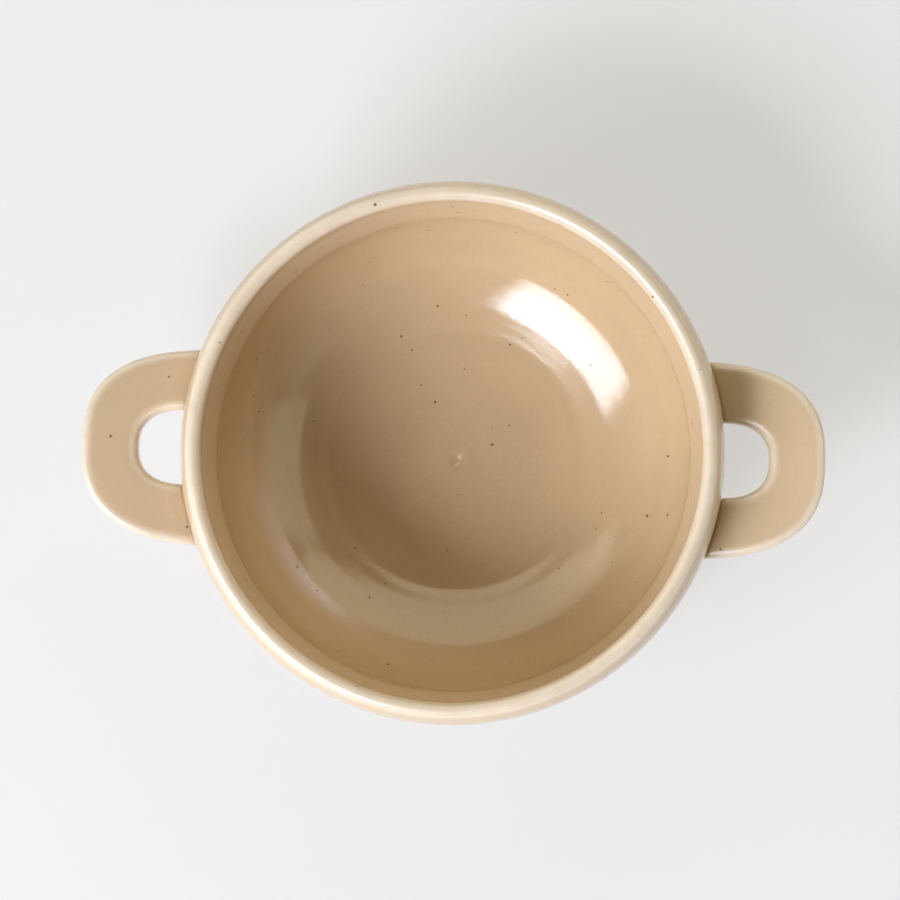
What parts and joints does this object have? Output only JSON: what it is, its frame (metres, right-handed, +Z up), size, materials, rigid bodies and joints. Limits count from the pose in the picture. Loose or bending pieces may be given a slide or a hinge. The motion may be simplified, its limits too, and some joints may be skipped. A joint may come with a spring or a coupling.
{
  "type": "soup bowl",
  "caption": "Round glazed stoneware soup bowl on a bare foot ring, with flat loop handles luted to opposite sides of its wall.",
  "frame": {"origin": "centre of the circle that the foot ring stands on", "axes": "+X through the right handle, +Y to the rear, +Z up along the axis of the bowl"},
  "size_m": [0.164, 0.12, 0.055],
  "materials": {
    "glaze": "semi-gloss beige glaze with a few fine iron specks, paler where it thins over edges",
    "pooled_glaze": "the same glaze, darker where it pools in the seam",
    "bare_clay": "matt fired clay without glaze"
  },
  "bodies": {
    "root": {"bowl_body": "glaze", "foot_ring": "bare_clay", "handle_left": "glaze", "handle_right": "glaze", "slip_seam_left_front": "pooled_glaze", "slip_seam_left_rear": "pooled_glaze", "slip_seam_right_front": "pooled_glaze", "slip_seam_right_rear": "pooled_glaze"}
  },
  "joints": []
}
